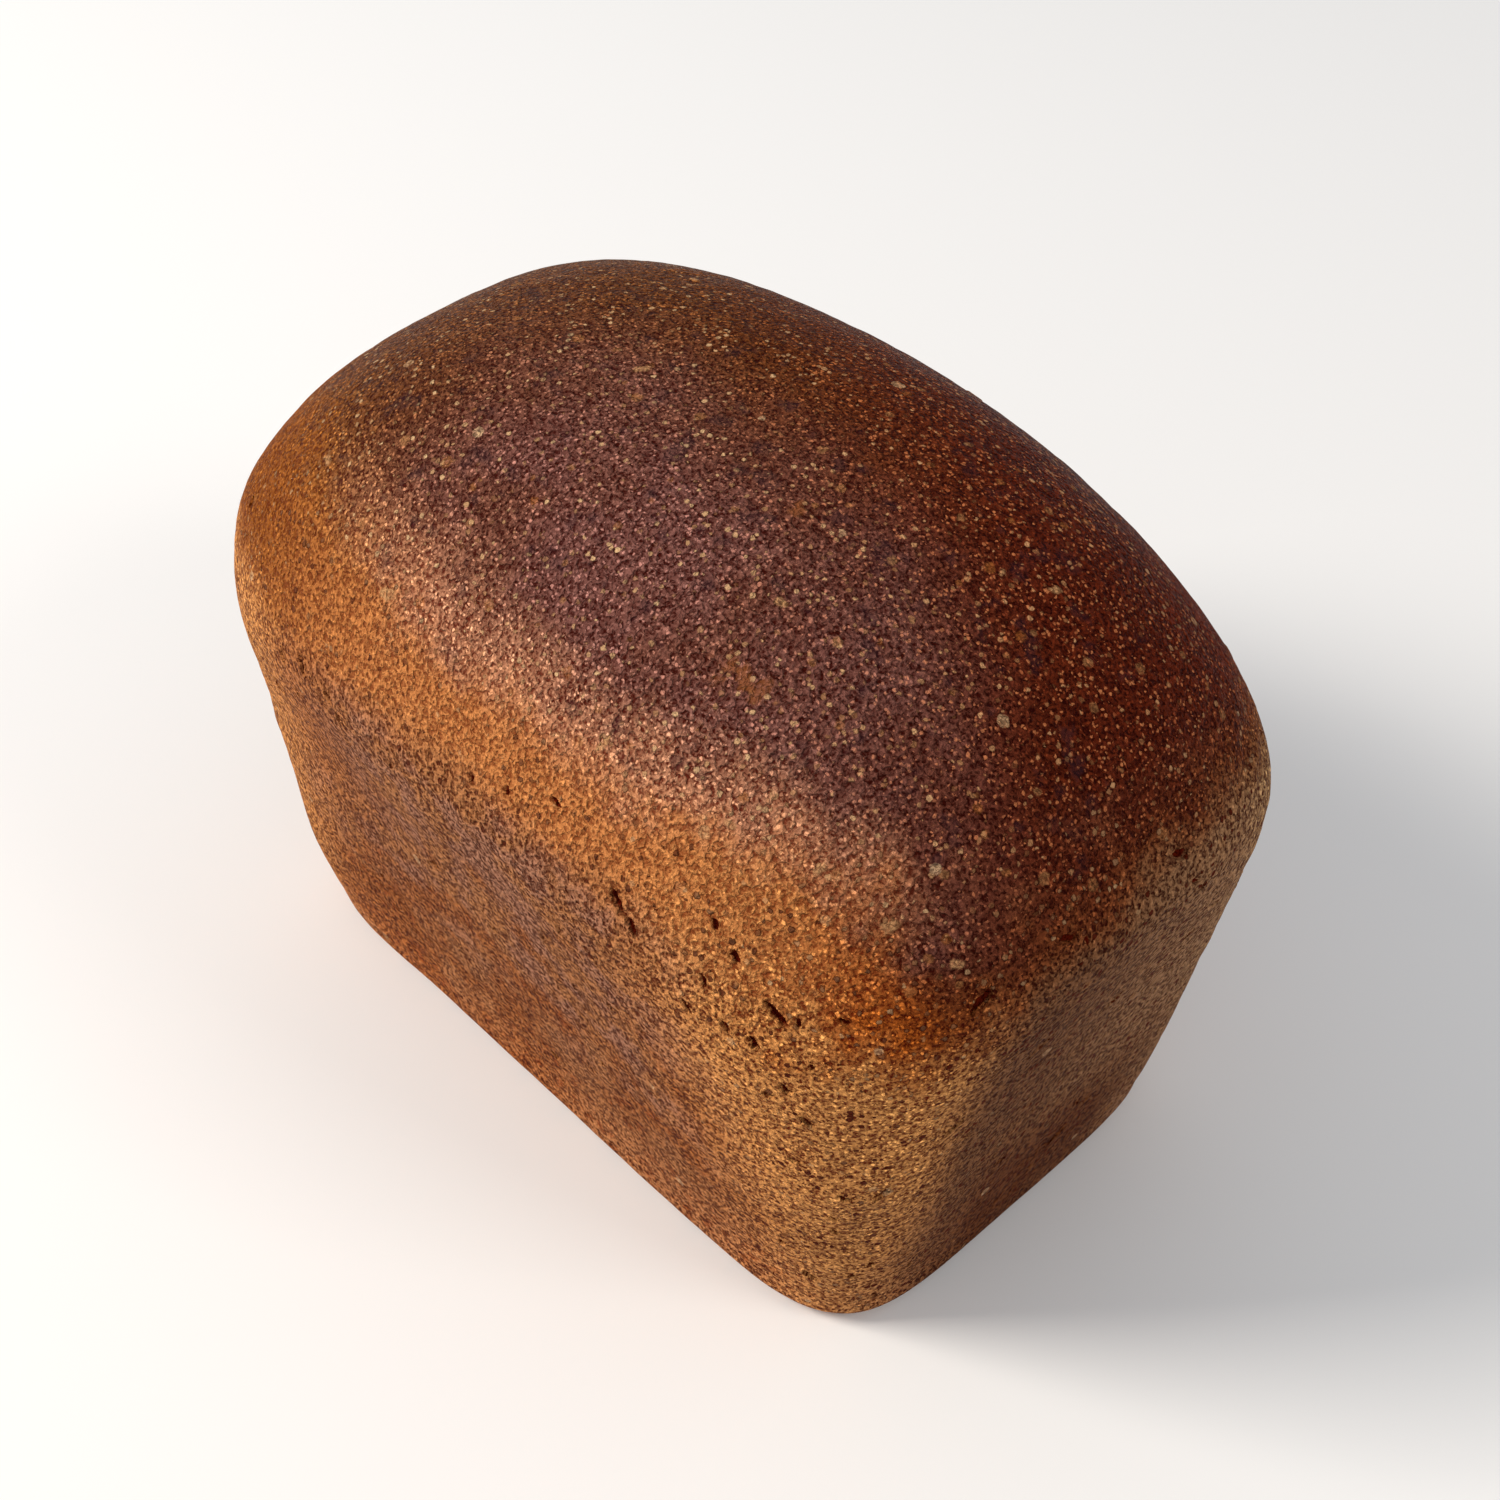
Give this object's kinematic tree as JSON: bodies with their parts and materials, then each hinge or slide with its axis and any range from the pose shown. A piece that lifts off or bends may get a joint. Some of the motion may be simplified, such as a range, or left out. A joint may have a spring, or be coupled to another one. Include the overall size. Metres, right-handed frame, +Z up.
{
  "type": "tin loaf",
  "caption": "Small brick-shaped tin loaf of dark bread with a domed top, rounded corners, sides that lean out and a flat base.",
  "frame": {"origin": "middle of the flat base the loaf stands on, at the bottom centre of its box", "axes": "+Z up from the base to the domed top, +X along the loaf's length, +Y across its width"},
  "size_m": [0.1658, 0.1098, 0.1245],
  "materials": {
    "crust": "satin"
  },
  "bodies": {
    "root": {"tin_loaf": "crust"}
  },
  "joints": []
}
